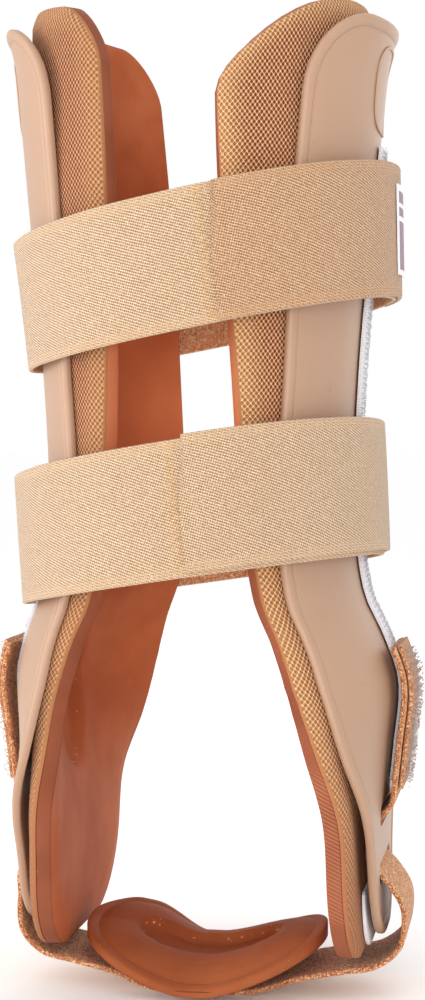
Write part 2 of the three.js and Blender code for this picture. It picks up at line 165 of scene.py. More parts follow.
sides = {
    "right": {
        "sign": 1, "slip": 0, "loopReach": 60 * mm, "lowTape": 6.2 * mm, "highTape": 6.2 * mm,
        "front": 25 * mm, "frontStretch": 1.9, "rear": 15 * mm, "rearStretch": 1},
    "left": {
        "sign": -1, "slip": 2 * mm, "loopReach": 54.2 * mm, "lowTape": 3.1 * mm, "highTape": 11 * mm,
        "front": 15 * mm, "frontStretch": 1, "rear": 15 * mm, "rearStretch": 1},
}


def levelValue(column, height):
    place = levelColumns.index(column)
    share = height / braceForm["shellHeight"]
    last = len(levels) - 1
    low = 0
    while low < last - 1 and share > levels[low + 1][0]:
        low += 1

    def slope(row):
        before = levels[max(row - 1, 0)]
        after = levels[min(row + 1, last)]
        return (after[place] - before[place]) / (after[0] - before[0])

    here = levels[low]
    there = levels[low + 1]
    span = there[0] - here[0]
    t = min(max((share - here[0]) / span, 0), 1)
    rise = there[place] - here[place]
    startBend = slope(low) * span - rise
    endBend = rise - slope(low + 1) * span
    return here[place] + rise * t + t * (1 - t) * ((1 - t) * startBend + t * endBend)


def reachAt(side, height):
    lean = side["sign"] * levelValue("lean", height)
    return braceForm["reach"] * (levelValue("reach", height) + lean)


sectionStore = {}


def sidePoint(side, height, arc, depth):
    # arc is measured round the shell from its middle, depth inwards
    key = (side["sign"], round(height, 6))
    if key not in sectionStore:
        radius = braceForm["radius"] / max(levelValue("bend", height), 0.02)
        sectionStore[key] = (radius, reachAt(side, height))
    radius, reach = sectionStore[key]
    angle = (arc + side["slip"]) / radius
    return braceMiddle + Vector((
        side["sign"] * (reach - radius + (radius - depth) * math.cos(angle)),
        (radius - depth) * math.sin(angle),
        braceForm["lift"] + height))


def padDepth(height):
    share = max(levelValue("gap", height), 0)
    return braceForm["wall"] + braceForm["padGap"] + braceForm["strapRoom"] * share


def lipCurl(height):
    start = braceForm["shellHeight"] - braceForm["lipHeight"]
    return braceForm["lipFlare"] * max(0, (height - start) / braceForm["lipHeight"]) ** 2


def smooth(low, high, value):
    t = min(max((value - low) / (high - low), 0), 1)
    return t * t * (3 - 2 * t)


# Modelling by hand: a flat blank is cut, shaped and then wrapped round its form

def deselect():
    if bpy.context.mode != "OBJECT":
        bpy.ops.object.mode_set(mode="OBJECT")
    bpy.ops.object.select_all(action="DESELECT")


def choose(piece):
    deselect()
    piece.select_set(True)
    bpy.context.view_layer.objects.active = piece


def edit(piece):
    choose(piece)
    bpy.ops.object.mode_set(mode="EDIT")
    bpy.ops.mesh.select_mode(type="FACE")


def selectFaces(piece, wanted):
    bpy.ops.mesh.select_all(action="DESELECT")
    mesh = bmesh.from_edit_mesh(piece.data)
    for face in mesh.faces:
        face.select_set(wanted(face.calc_center_median(), face.normal))
    bmesh.update_edit_mesh(piece.data)


def selectEdges(piece, wanted):
    bpy.ops.mesh.select_mode(type="EDGE")
    bpy.ops.mesh.select_all(action="DESELECT")
    mesh = bmesh.from_edit_mesh(piece.data)
    for line in mesh.edges:
        line.select_set(wanted(line.verts[0].co, line.verts[1].co))
    bmesh.update_edit_mesh(piece.data)


def insetRings(rings):
    # Each ring is a width and a rise, in mm, from the edge inwards
    for width, rise in rings:
        bpy.ops.mesh.inset(thickness=width * mm, depth=rise * mm, use_even_offset=True)


def cutAcross(places, axis):
    normal = (1, 0, 0) if axis == 0 else (0, 1, 0)
    for place in places:
        bpy.ops.mesh.select_all(action="SELECT")
        spot = (place, 0, 0) if axis == 0 else (0, place, 0)
        bpy.ops.mesh.bisect(plane_co=spot, plane_no=normal, threshold=0.00005)


def spaced(low, high, step):
    count = max(1, round((high - low) / step))
    return [low + (high - low) * i / count for i in range(1, count)]


def flatBlank(name, outline, wall):
    # A slab of the outline's shape, its top face selected, in edit mode
    deselect()
    bpy.ops.mesh.primitive_circle_add(vertices=len(outline), radius=0.1, fill_type="NGON")
    piece = bpy.context.object
    piece.name = name
    piece.data.name = name
    for vertex, (across, up) in zip(piece.data.vertices, outline):
        vertex.co = (across, up, 0)
    edit(piece)
    bpy.ops.mesh.select_all(action="SELECT")
    bpy.ops.mesh.extrude_region_move(TRANSFORM_OT_translate={"value": (0, 0, wall)})
    return piece


def shapeSlab(piece, wall, topRings, lowRings, step):
    # The slab's edges are rounded, and it is cut by a grid so that it bends smoothly
    insetRings(topRings)
    selectFaces(piece, lambda centre, normal: centre.z < 0.01 * mm and abs(normal.z) > 0.9)
    bpy.ops.mesh.normals_make_consistent(inside=False)
    bpy.ops.mesh.select_all(action="SELECT")
    bpy.ops.mesh.normals_make_consistent(inside=False)
    selectFaces(piece, lambda centre, normal: centre.z < 0.01 * mm and normal.z < -0.9)
    insetRings(lowRings)
    xs = [vertex.co.x for vertex in bmesh.from_edit_mesh(piece.data).verts]
    ys = [vertex.co.y for vertex in bmesh.from_edit_mesh(piece.data).verts]
    cutAcross(spaced(min(xs), max(xs), step[0]), 0)
    cutAcross(spaced(min(ys), max(ys), step[1]), 1)
    bpy.ops.object.mode_set(mode="OBJECT")


def layUv(piece):
    # The flat shape in metres, so that a pattern follows the piece at its true size
    mesh = piece.data
    while mesh.uv_layers:
        mesh.uv_layers.remove(mesh.uv_layers[0])
    layer = mesh.uv_layers.new(name="flat")
    for loop in mesh.loops:
        place = mesh.vertices[loop.vertex_index].co
        layer.data[loop.index].uv = (place.x, place.y)


def wrap(piece, place, angle=40):
    # Each point of the flat piece goes to its place on the brace
    layUv(piece)
    for vertex in piece.data.vertices:
        vertex.co = place(vertex.co.x, vertex.co.y, vertex.co.z)
    edit(piece)
    bpy.ops.mesh.select_all(action="SELECT")
    bpy.ops.mesh.remove_doubles(threshold=0.00002)
    bpy.ops.mesh.normals_make_consistent(inside=False)
    bpy.ops.object.mode_set(mode="OBJECT")
    bpy.ops.object.shade_smooth_by_angle(angle=math.radians(angle))
    return piece


def split(piece, times):
    choose(piece)
    modifier = piece.modifiers.new("split", "SUBSURF")
    modifier.subdivision_type = "SIMPLE"
    modifier.levels = times
    modifier.render_levels = times
    bpy.ops.object.modifier_apply(modifier="split")


def cornerInset(distance, corner, roundness=2):
    if distance >= corner:
        return 0
    left = corner ** roundness - (corner - max(distance, 0)) ** roundness
    return corner - left ** (1 / roundness)


def cornerRises(corner, steps):
    # Heights of a quarter round's points above its lowest one
    return [corner * (1 - math.cos(math.pi / 2 * i / steps)) for i in range(steps + 1)]


outlineSteps = {"lowCorner": 8, "topCorner": 10, "edge": 7 * mm}


def roundedOutline(edge, low, high, lowCorner, topFront, topRear, roundness=2, stretch=(1, 1)):
    # edge(height, end) gives the arc of an edge without its corners. The outline runs up the
    # rear and down the front. stretch makes the top corners, front and rear, wider than high.
    outline = []
    corners = (("rear", 1, topRear, stretch[1]), ("front", -1, topFront, stretch[0]))
    for end, sign, topCorner, wide in corners:
        heights = [low + rise for rise in cornerRises(lowCorner, outlineSteps["lowCorner"])]
        heights += spaced(low + lowCorner, high - topCorner, outlineSteps["edge"])
        heights += [high - rise for rise in cornerRises(topCorner, outlineSteps["topCorner"])[::-1]]
        run = []
        for height in heights:
            drawnIn = wide * cornerInset(high - height, topCorner, roundness)
            drawnIn += cornerInset(height - low, lowCorner)
            run.append((sign * (edge(height, end) - drawnIn), height))
        outline += run if sign > 0 else run[::-1]
    return outline


def addRim(piece, valueAt):
    # A number at each point of the flat piece, which its material reads
    rim = piece.data.attributes.new("rim", "FLOAT", "POINT")
    for index, vertex in enumerate(piece.data.vertices):
        rim.data[index].value = valueAt(*vertex.co)


def bodied(piece, slot, *nodes):
    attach(piece, "root")
    if nodes:
        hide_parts(*nodes)
    return piece


# Materials

class Field:
    # A number that varies over a surface, for use in Python expressions

    def __init__(self, paint, socket):
        self.paint = paint
        self.socket = socket

    def __add__(self, other):
        return self.paint.maths("ADD", self, other)

    def __radd__(self, other):
        return self.paint.maths("ADD", other, self)

    def __sub__(self, other):
        return self.paint.maths("SUBTRACT", self, other)

    def __rsub__(self, other):
        return self.paint.maths("SUBTRACT", other, self)

    def __mul__(self, other):
        return self.paint.maths("MULTIPLY", self, other)

    def __rmul__(self, other):
        return self.paint.maths("MULTIPLY", other, self)


def linear(red, green, blue):
    # A colour as the eye names it, 0 to 255, for a shader
    shares = [value / 255 for value in (red, green, blue)]
    return tuple(v / 12.92 if v <= 0.04045 else ((v + 0.055) / 1.055) ** 2.4 for v in shares) + (1,)


class Paint:
    def __init__(self, name):
        self.material = bpy.data.materials.new(name)
        self.material.use_nodes = True
        self.tree = self.material.node_tree
        self.tree.nodes.clear()
        self.shader = self.node("ShaderNodeBsdfPrincipled")
        self.node("ShaderNodeOutputMaterial", {}, {"Surface": self.shader.outputs[0]})

    def node(self, kind, settings=None, sockets=None):
        made = self.tree.nodes.new(kind)
        for key, value in (settings or {}).items():
            setattr(made, key, value)
        for key, value in (sockets or {}).items():
            value = value.socket if isinstance(value, Field) else value
            if isinstance(value, bpy.types.NodeSocket):
                self.tree.links.new(value, made.inputs[key])
            else:
                made.inputs[key].default_value = value
        return made

    def maths(self, operation, *values):
        sockets = {index: value for index, value in enumerate(values)}
        return Field(self, self.node("ShaderNodeMath", {"operation": operation}, sockets).outputs[0])

    def set(self, **constants):
        for key, value in constants.items():
            self.shader.inputs[key.replace("_", " ")].default_value = value

    def flat(self):
        # Across and up, in millimetres, on the piece's own flat map
        made = self.node("ShaderNodeUVMap", {"uv_map": "flat"})
        parts = self.node("ShaderNodeSeparateXYZ", {}, {0: made.outputs[0]})
        return Field(self, parts.outputs[0]) * 1000, Field(self, parts.outputs[1]) * 1000

    def place(self):
        return self.node("ShaderNodeTexCoord").outputs["Object"]

    def placeParts(self):
        parts = self.node("ShaderNodeSeparateXYZ", {}, {0: self.place()})
        return [Field(self, parts.outputs[i]) * 1000 for i in range(3)]

    def noise(self, size, detail=2, roughness=0.5, distortion=0):
        # size is the blobs' size in millimetres
        sockets = {
            "Vector": self.place(),
            "Scale": 1000 / size,
            "Detail": detail,
            "Roughness": roughness,
            "Distortion": distortion,
        }
        return Field(self, self.node("ShaderNodeTexNoise", {}, sockets).outputs[0])

    def wave(self, value, pitch):
        # 0 to 1 and back once in each pitch
        return self.maths("SINE", value * (2 * math.pi / pitch)) * 0.5 + 0.5

    def ease(self, value, low, high):
        made = self.node(
            "ShaderNodeMapRange",
            {"interpolation_type": "SMOOTHSTEP"},
            {"Value": value, "From Min": low, "From Max": high})
        return Field(self, made.outputs[0])

    def under(self, value, limit, soft=0.2):
        # 1 up to a limit and 0 past it
        return 1 - self.ease(value, limit, limit + soft)

    def size(self, value):
        return self.maths("ABSOLUTE", value)

    def rim(self):
        return Field(self, self.node("ShaderNodeAttribute", {"attribute_name": "rim"}).outputs["Fac"])

    def blend(self, share, first, second):
        sockets = {0: share, 6: first, 7: second}
        return self.node("ShaderNodeMix", {"data_type": "RGBA"}, sockets).outputs[2]

    def colour(self, socket):
        self.tree.links.new(socket, self.shader.inputs["Base Color"])

    def roughness(self, value):
        self.tree.links.new(value.socket, self.shader.inputs["Roughness"])

    def bump(self, height, depth):
        # depth is the relief in millimetres from height 0 to 1
        made = self.node("ShaderNodeBump", {}, {"Height": height, "Distance": depth * mm, "Strength": 1})
        self.tree.links.new(made.outputs[0], self.shader.inputs["Normal"])


def plasticPaint():
    paint = Paint("moulded plastic")
    cloud = paint.noise(45, 2)
    grain = paint.noise(0.5, 3, 0.6)
    speck = paint.ease(paint.noise(1.6, 1, 0.4), 0.76, 0.80)
    base = paint.blend(cloud, linear(172, 137, 111), linear(181, 146, 121))
    base = paint.blend(grain * 0.10, base, linear(158, 118, 92))
    paint.colour(paint.blend(speck * 0.35, base, linear(148, 102, 76)))
    paint.roughness(0.36 + cloud * 0.10 + grain * 0.06)
    paint.bump(grain + cloud, 0.03)
    paint.set(
        Specular_IOR_Level=0.45, Subsurface_Weight=0.12, Subsurface_Scale=0.004,
        Subsurface_Radius=(1.0, 0.55, 0.35))
    return paint.material


def footShade(paint, z):
    # Painted shade: the knit is darker and more brown towards the brace's foot, 1 at the foot and 0 from
    # 100 mm up
    return 1 - paint.ease(z, 15, 100)


def knitPaint():
    # A diamond lattice of threads over a darker spacer fabric, with painted shade on the left pad and
    # towards the foot and a painted lit strip along the edge
    paint = Paint("perforated knit")
    across, up = paint.flat()
    x, y, z = paint.placeParts()
    lower = footShade(paint, z)
    # Painted shade on the left pad: 1 on the left, 0 on the right
    leftPadShade = 1 - paint.ease(x, -12, 12)
    sway = paint.noise(9, 1) * 0.4
    first = across * 0.66 + up * 0.56 + sway
    second = across * 0.66 - up * 0.56 + sway
    threadA = paint.wave(first, 1)
    threadB = paint.wave(second, 1)
    hole = paint.ease((1 - threadA) * (1 - threadB), 0.16, 0.44)
    fuzz = paint.noise(0.35, 3, 0.65)
    crossing = paint.ease(threadA * threadB, 0.35, 0.9)
    rim = paint.rim()
    thread = paint.blend(paint.ease(fuzz, 0.35, 0.65), linear(160, 94, 54), linear(216, 156, 108))
    thread = paint.blend(crossing * 0.7, thread, linear(248, 204, 156))
    # Painted light: a lighter strip along the pad's edge, where the holes are also shallower
    thread = paint.blend(rim * 0.5, thread, linear(234, 184, 128))
    thread = paint.blend(leftPadShade * 0.35, thread, linear(156, 84, 42))
    # Painted shade towards the foot: darker threads and fainter holes
    thread = paint.blend(lower * 0.8, thread, linear(170, 102, 60))
    holeDepth = hole * (0.95 - rim * 0.5) * (1 - lower * 0.35)
    paint.colour(paint.blend(holeDepth, thread, linear(112, 48, 22)))
    paint.roughness(0.72 + fuzz * 0.2)
    paint.bump(paint.maths("MAXIMUM", threadA, threadB) * 0.8 + fuzz * 0.2 - hole * 0.6, 0.6)
    paint.set(Sheen_Weight=0.1, Sheen_Roughness=0.5, Specular_IOR_Level=0.2)
    return paint.material


def bindingPaint():
    # The cut edge of the knit, pressed against the gel
    paint = Paint("pressed knit edge")
    fuzz = paint.noise(0.5, 3, 0.65)
    x, y, z = paint.placeParts()
    lower = footShade(paint, z)
    knit = paint.blend(fuzz, linear(144, 88, 50), linear(192, 134, 86))
    # Painted shade: the edge is darker towards the foot
    paint.colour(paint.blend(lower * 0.7, knit, linear(160, 94, 60)))
    paint.roughness(0.8 + fuzz * 0.15)
    paint.bump(fuzz, 0.2)
    return paint.material


def gelPaint(name, dark, light):
    # Cloudy gel, ribbed at the front of the right pad's lower end, with specks of dust, painted glints
    # along the recess walls, painted light between the straps and painted shade towards the foot
    paint = Paint(name)
    x, y, z = paint.placeParts()
    cloud = paint.noise(32, 3, 0.55)
    dust = paint.ease(paint.noise(0.9, 1, 0.5), 0.74, 0.79)
    smear = paint.noise(7, 3, 0.6, distortion=0.6)
    rim = paint.rim()
    # Painted highlight: glints along the recess walls
    glint = paint.ease(rim * paint.noise(1.1, 2, 0.6), 0.46, 0.54)
    ribZone = paint.ease(z, 24, 30) * (1 - paint.ease(z, 66, 76)) * (1 - paint.ease(y, -36, -32))
    ribZone = ribZone * paint.ease(x, 10, 14)
    ribs = paint.wave(z + x * 0.5, 1.15) * ribZone
    base = paint.blend(paint.ease(cloud, 0.25, 0.75), linear(*dark), linear(*light))
    base = paint.blend(smear * 0.2, base, linear(*dark))
    base = paint.blend(ribs * 0.4, base, linear(222, 150, 112))
    # Painted light between the straps, from 110 to 215 mm up
    lightBetweenStraps = paint.ease(z, 110, 150) * (1 - paint.ease(z, 185, 215))
    base = paint.blend(lightBetweenStraps * 0.5, base, linear(232, 142, 94))
    # Painted shade towards the foot, below 115 mm, on the heel pad too
    deeper = 1 - paint.ease(z, 70, 115)
    base = paint.blend(deeper * 0.3, base, linear(*dark))
    base = paint.blend(glint * 0.8, base, linear(226, 150, 100))
    paint.colour(paint.blend(dust * 0.4, base, linear(222, 156, 112)))
    paint.roughness(0.52 + smear * 0.08 + dust * 0.3 - glint * 0.2)
    paint.bump(smear * 0.2 + paint.noise(1.1, 2) * 0.15 + ribs * 0.5, 0.25)
    paint.set(
        Specular_IOR_Level=0.05, Subsurface_Weight=0.15, Subsurface_Scale=0.003,
        Subsurface_Radius=(1.0, 0.35, 0.2))
    return paint.material


def elasticPaint(name, warm, light, edge):
    # Woven elastic: fine diagonal ribs of stitches and a plainer selvedge along both edges
    paint = Paint(name)
    along, across = paint.flat()
    wobble = paint.noise(4, 2) * 0.35
    ribs = paint.wave(along * 0.50 + across * 1.05 + wobble, 0.84)
    stitches = paint.wave(along * 1.25 - across * 0.40 + wobble, 0.84)
    flecks = paint.noise(0.5, 2, 0.7) - 0.5
    cell = paint.ease(ribs * 0.6 + stitches * 0.4 + flecks * 0.7, 0.15, 0.85)
    fibre = paint.noise(0.28, 3, 0.7)
    border = paint.ease(paint.size(across), 15.6, 16.6)
    rows = paint.wave(across, 0.8)
    cell = cell * (1 - border) + (cell * 0.6 + rows * 0.25) * border
    tone = paint.noise(30, 2)
    base = paint.blend(cell, linear(*warm), linear(*light))
    base = paint.blend(paint.ease(fibre, 0.54, 0.66) * 0.6, base, linear(255, 240, 214))
    base = paint.blend(paint.ease(1 - fibre, 0.56, 0.68) * 0.6, base, linear(146, 96, 56))
    base = paint.blend(border * 0.12, base, linear(*edge))
    paint.colour(paint.blend(tone * 0.18, base, linear(190, 148, 110)))
    paint.roughness(0.8 + fibre * 0.15)
    paint.bump(cell * 0.7 + fibre * 0.3, 0.42)
    paint.set(Sheen_Weight=0.3, Sheen_Roughness=0.4, Specular_IOR_Level=0.2)
    return paint.material


def pilePaint(name, dark, middle, bright):
    # Brushed loop pile, with glints on the curled fibres
    paint = Paint(name)
    curl = paint.noise(0.95, 4, 0.75, distortion=1.2)
    fine = paint.noise(0.5, 2, 0.7)
    patch = paint.noise(6, 2)
    base = paint.blend(paint.ease(curl, 0.36, 0.6), linear(*dark), linear(*middle))
    base = paint.blend(patch * 0.35, base, linear(*dark))
    glint = paint.ease(fine + curl * 0.6, 0.84, 0.94)
    paint.colour(paint.blend(glint * 0.8, base, linear(*bright)))
    paint.roughness(0.75 + fine * 0.2)
    paint.bump(curl * 0.7 + fine * 0.3, 0.7)
    paint.set(Sheen_Weight=0.15, Sheen_Roughness=0.45, Specular_IOR_Level=0.2)
    return paint.material


def tapePaint():
    # White woven backing
    paint = Paint("white hook tape")
    along, across = paint.flat()
    weave = paint.wave(along, 0.8) * paint.wave(across, 0.8)
    fibre = paint.noise(0.4, 3, 0.65)
    shade = paint.blend(fibre, linear(206, 202, 208), linear(250, 249, 252))
    paint.colour(paint.blend(weave * 0.25, shade, linear(184, 180, 188)))
    paint.roughness(0.55 + fibre * 0.3)
    paint.bump(weave * 0.6 + fibre * 0.4, 0.25)
    return paint.material


def hookPaint(name, dark, light):
    paint = Paint(name)
    fibre = paint.noise(0.8, 2, 0.6)
    paint.colour(paint.blend(fibre, linear(*dark), linear(*light)))
    paint.roughness(0.3 + fibre * 0.2)
    paint.bump(fibre, 0.05)
    paint.set(Specular_IOR_Level=0.6)
    return paint.material


def labelPaint():
    # White satin tape with a plain plum field and two plum bars above it
    paint = Paint("printed label")
    along, across = paint.flat()
    thread = paint.wave(across, 0.35) * 0.5 + paint.wave(along, 0.35) * 0.5
    plum = paint.under(across, 2.4) * paint.ease(across, -11.6, -11.4)
    for middle, half in ((9.4, 1.6), (5.2, 1.2)):
        plum = plum + paint.under(paint.size(across - middle), half)
    plum = plum * paint.under(paint.size(along), 6.6)
    white = paint.blend(thread, linear(226, 220, 226), linear(247, 244, 248))
    paint.colour(paint.blend(plum, white, linear(124, 88, 110)))
    paint.roughness(0.42 + thread * 0.15)
    paint.bump(thread, 0.05)
    return paint.material


def threadPaint():
    paint = Paint("sewing thread")
    fibre = paint.noise(0.4, 2, 0.6)
    paint.colour(paint.blend(fibre, linear(206, 156, 84), linear(244, 212, 150)))
    paint.roughness(0.6 + fibre * 0.2)
    paint.bump(fibre, 0.06)
    return paint.material


def floorPaint():
    paint = Paint("pale floor")
    speck = paint.noise(60, 2)
    paint.colour(paint.blend(speck, linear(253, 253, 253), linear(255, 255, 255)))
    paint.roughness(0.6 + speck * 0.05)
    return paint.material


finishes = {
    "plastic": plasticPaint(),
    "knit": knitPaint(),
    # The side pads' gel is painted lighter than the heel pad's, painted light for their shaded inner faces
    "gel": gelPaint("terracotta gel", (168, 88, 52), (202, 121, 80)),
    "gelEdge": gelPaint("terracotta gel edge", (128, 70, 48), (158, 94, 68)),
    "heelGel": gelPaint("terracotta heel gel", (140, 71, 40), (172, 101, 64)),
    "elastic": elasticPaint("woven elastic", (148, 106, 68), (238, 210, 178), (216, 186, 152)),
    "elasticEnd": elasticPaint(
        "woven elastic, outer layer", (138, 92, 56), (230, 188, 148), (196, 152, 114)),
    "binding": bindingPaint(),
    "pile": pilePaint("loop pile", (146, 74, 40), (212, 138, 88), (255, 228, 184)),
    "strapInside": pilePaint("loop pile inside a strap", (200, 116, 70), (252, 192, 138), (255, 244, 212)),
    "pileTan": pilePaint("smooth side of the strap", (176, 106, 62), (224, 164, 114), (255, 226, 184)),
    "pileDark": pilePaint("hook strip back", (148, 80, 46), (214, 146, 98), (255, 230, 190)),
    "tape": tapePaint(),
    "whiteHook": hookPaint("white hooks", (150, 150, 158), (226, 226, 232)),
    "darkHook": hookPaint("grey hooks", (120, 104, 98), (206, 190, 180)),
    "label": labelPaint(),
    "thread": threadPaint(),
    "floor": floorPaint(),
}


def dress(piece, finish):
    piece.data.materials.clear()
    piece.data.materials.append(finishes[finish])
    return piece


print("materials are mixed")


# Side shells

shellSizes = {
    "topCorner": 23 * mm,
    "bottomCorner": 19 * mm,
    "edgeDrop": 0.9,  # mm, how far the outer edge is rounded down
    "beadRings": (  # width and rise of each ring from the edge inwards, mm
        (0.15, 0.40), (0.30, 0.35), (0.45, 0.22), (0.65, 0.08), (0.70, -0.02), (0.55, -0.15),
        (0.30, -0.30), (0.22, -0.25), (0.25, 0.12), (0.40, 0.16), (0.60, 0.06)),
    "innerRings": ((0.35, 0.35), (0.60, 0.12)),
    "step": (5 * mm, 5 * mm),
    "slotLength": 33.5 * mm,
    "slotHeight": 6.5 * mm,
    "slotRound": 0.46,  # the radius of a slot's ends, as a share of its height
    "slots": (19 * mm, 36 * mm),
    "cutterDepth": 20 * mm,
    "markWidth": 13 * mm,
    "markHeight": 12 * mm,
    "markTube": 0.4 * mm,
    "markPlace": 244 * mm,
    "markRoundness": 3.2,
    "markFlatness": 0.7,
}


def shellEdge(height, end):
    return braceForm["shellHalfArc"] * levelValue("shell", height)


def cutSlot(piece, sizes, height):
    deselect()
    bpy.ops.mesh.primitive_cube_add(size=1, location=(0, height, 0))
    cutter = bpy.context.object
    cutter.scale = (sizes["slotLength"], sizes["slotHeight"], sizes["cutterDepth"])
    bpy.ops.object.transform_apply(location=True, rotation=True, scale=True)
    edit(cutter)
    selectEdges(cutter, lambda a, b: abs(a.z - b.z) > sizes["cutterDepth"] / 2)
    bpy.ops.mesh.bevel(offset=sizes["slotHeight"] * sizes["slotRound"], segments=6)
    choose(piece)
    modifier = piece.modifiers.new("slot", "BOOLEAN")
    modifier.object = cutter
    modifier.operation = "DIFFERENCE"
    modifier.solver = "EXACT"
    bpy.ops.object.modifier_apply(modifier="slot")
    bpy.data.objects.remove(cutter)


def addMark(side, sizes):
    # Plain raised oval near the top of the shell
    deselect()
    bpy.ops.mesh.primitive_torus_add(
        major_radius=sizes["markWidth"], minor_radius=sizes["markTube"],
        major_segments=72, minor_segments=8)
    mark = bpy.context.object
    power = sizes["markRoundness"]
    for vertex in mark.data.vertices:
        x, y, z = vertex.co
        flat = math.hypot(x, y)
        angle = math.atan2(y, x)
        square = (abs(math.cos(angle)) ** power + abs(math.sin(angle)) ** power) ** (-1 / power)
        stretch = (flat - sizes["markWidth"]) + sizes["markWidth"] * square
        vertex.co = (
            stretch * math.cos(angle),
            sizes["markPlace"] + stretch * math.sin(angle) * sizes["markHeight"] / sizes["markWidth"],
            z * sizes["markFlatness"])
    return wrap(mark, lambda x, y, z: sidePoint(side, y, x, -z - lipCurl(y)))


def makeShell(name, sizes):
    side = sides[name]
    height = braceForm["shellHeight"]
    outline = roundedOutline(
        shellEdge, 0, height, sizes["bottomCorner"], sizes["topCorner"], sizes["topCorner"])
    wall = braceForm["wall"] - sizes["edgeDrop"] * mm
    shell = flatBlank(f"shell_{name}_moulding", outline, wall)
    shapeSlab(shell, wall, sizes["beadRings"], sizes["innerRings"], sizes["step"])
    for slot in sizes["slots"]:
        cutSlot(shell, sizes, slot)
    wrap(shell, lambda x, y, z: sidePoint(side, y, x, braceForm["wall"] - z - lipCurl(y)), angle=50)
    mark = addMark(side, sizes)
    choose(shell)
    mark.select_set(True)
    bpy.ops.object.join()
    dress(shell, "plastic")
    return bodied(shell, "shell", f"shell_{name}")


for name in sides:
    makeShell(name, shellSizes)
print("shells are moulded")


# Side pads: knit cover and gel slab

padSizes = {
    "rise": 1 * mm,
    "crown": 5 * mm,  # how much higher the middle of the top edge lies
    "crownReach": 40 * mm,  # from the top edge down to where the crown starts
    "drop": 5 * mm,
    "bottomCorner": 24 * mm,
    "roundness": 1.65,
    "cover": 1.4 * mm,
    "coverRings": ((0.20, 0.30), (0.40, 0.20)),
    "coverStep": (4 * mm, 4 * mm),
    "edgeRound": 1.5 * mm,  # the edges of the outer face lie this much deeper
    "edgeRoundWidth": 6 * mm,
    "litEdgeWidth": 11 * mm,  # the knit is painted lighter this far in from its edge, a painted lit strip with shallower holes
    "gelEdge": 5 * mm,
    "gelRings": (
        (0.15, 0.30), (0.30, 0.25), (0.55, 0.15), (0.9, 0.08), (1.0, 0.10), (1.2, 0.20),
        (1.4, 0.22), (1.6, 0.20)),
    "gelLowRings": ((0.3, 0.25),),
    "gelStep": (3 * mm, 3 * mm),
    "gelBand": 0.55 * mm,  # how far the side wall's darker gel reaches over the edge
    "gelBack": 0.4 * mm,  # what lies nearer the cover than this follows its rounded edge
    "recessDepth": 3.2 * mm,
    "recessHalfWidth": 19 * mm,
    "recessHalfHeight": 36 * mm,
    "recessMiddle": 80 * mm,
    "recessFloor": 0.86,  # the floor's share of the recess, and the rest is its wall
}


def padEdge(side):
    def edge(height, end):
        skew = side["sign"] * levelValue("skew", height) if end == "front" else 0
        return braceForm["padHalfArc"] * (levelValue(end, height) + skew)
    return edge


def padOutline(side, sizes):
    return roundedOutline(
        padEdge(side), -sizes["drop"], braceForm["shellHeight"] + sizes["rise"],
        sizes["bottomCorner"], side["front"], side["rear"], sizes["roundness"],
        (side["frontStretch"], side["rearStretch"]))


def crowned(sizes, across, up):
    top = braceForm["shellHeight"] + sizes["rise"]
    near = smooth(top - sizes["crownReach"], top, up)
    return up + sizes["crown"] * near * max(0, 1 - (across / braceForm["padHalfArc"]) ** 2)


def nearEdge(side, sizes, across, up, width):
    # 1 at the pad's edge, 0 at width or more from it
    high = braceForm["shellHeight"] + sizes["rise"]
    low = -sizes["drop"]
    end = "rear" if across > 0 else "front"
    drawnIn = side[f"{end}Stretch"] * cornerInset(high - up, side[end], sizes["roundness"])
    drawnIn += cornerInset(up - low, sizes["bottomCorner"])
    distance = min(padEdge(side)(up, end) - drawnIn - abs(across), high - up, up - low)
    return 1 - smooth(0, width, distance)


def edgeDrop(side, sizes, across, up):
    # How much deeper the outer face lies near the pad's edge
    return sizes["edgeRound"] * nearEdge(side, sizes, across, up, sizes["edgeRoundWidth"]) ** 2


def makeCover(name, sizes):
    side = sides[name]
    wall = sizes["cover"] - sum(rise for width, rise in sizes["coverRings"]) * mm
    cover = flatBlank(f"pad_cover_{name}_knit", padOutline(side, sizes), wall)
    shapeSlab(cover, wall, sizes["coverRings"], (), sizes["coverStep"])
    split(cover, 1)
    dress(cover, "knit")
    cover.data.materials.append(finishes["binding"])
    # rim marks the knit's painted lit strip along the edge
    addRim(cover, lambda x, y, z: nearEdge(side, sizes, x, y, sizes["litEdgeWidth"]))
    for face in cover.data.polygons:
        face.material_index = 1 if abs(face.normal.z) < 0.7 else 0

    def place(x, y, z):
        deep = padDepth(y) + sizes["cover"] - z + edgeDrop(side, sizes, x, y)
        return sidePoint(side, crowned(sizes, x, y), x, deep)

    wrap(cover, place)
    return bodied(cover, "pad_cover", f"pad_cover_{name}")


def recessAt(sizes, across, up):
    # 0 outside the ankle-bone recess, 1 on its floor
    aside = across / sizes["recessHalfWidth"]
    above = (up - sizes["recessMiddle"]) / sizes["recessHalfHeight"]
    return 1 - smooth(sizes["recessFloor"], 1, math.hypot(aside, above))


def wallGlint(hollow):
    # 1 halfway down a recess's wall, 0 on its floor and outside it; the gel's painted glints go there
    return 4 * hollow * (1 - hollow)


